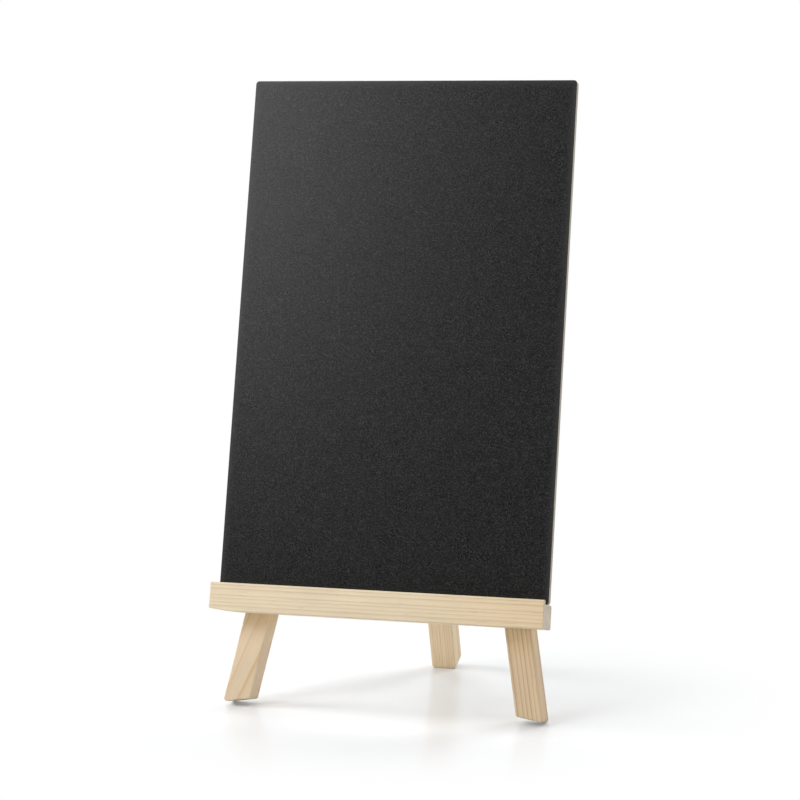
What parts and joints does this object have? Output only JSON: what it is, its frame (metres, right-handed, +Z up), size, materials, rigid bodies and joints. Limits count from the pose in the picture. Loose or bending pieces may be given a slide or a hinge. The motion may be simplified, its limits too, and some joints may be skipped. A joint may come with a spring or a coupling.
{
  "type": "tabletop chalkboard easel",
  "caption": "Small black chalkboard standing in the lipped ledge of a splayed pine easel, propped by a rear leg that folds on a butt hinge.",
  "frame": {"origin": "on the table, under the middle of the easel's bounding box", "axes": "+Z up from the table, -Y the way the board faces, +X to the right as seen from the front; the board and front legs lean back by 12 degrees"},
  "size_m": [0.241, 0.2058, 0.4457],
  "materials": {
    "chalkboard_paint": "matte black chalkboard paint on a 6 mm board with raw edges",
    "pine": "planed bare pine, satin",
    "zinc_plated_steel": "bright zinc plate"
  },
  "bodies": {
    "easel_frame": {"ledge": "pine", "front_leg_left": "pine", "front_leg_right": "pine", "top_rail": "pine", "hinge_frame_leaf": "zinc_plated_steel", "hinge_pin": "zinc_plated_steel", "ledge_screws": "zinc_plated_steel", "rail_screws": "zinc_plated_steel", "hinge_frame_screws": "zinc_plated_steel"},
    "rear_leg": {"rear_leg": "pine", "hinge_leg_leaf": "zinc_plated_steel", "hinge_leg_screws": "zinc_plated_steel"},
    "chalkboard": {"chalkboard": "chalkboard_paint"}
  },
  "joints": [
    {"name": "rear_leg_fold", "type": "hinge", "parent": "easel_frame", "child": "rear_leg", "pos_m": [0.0026, -0.0162, 0.25861], "axis": [-1, 0, 0], "range_deg": [0, 33]},
    {"name": "board_lift", "type": "slide", "parent": "easel_frame", "child": "chalkboard", "axis": [0, 0.2079, 0.9781], "range_m": [0, 0.22]}
  ]
}
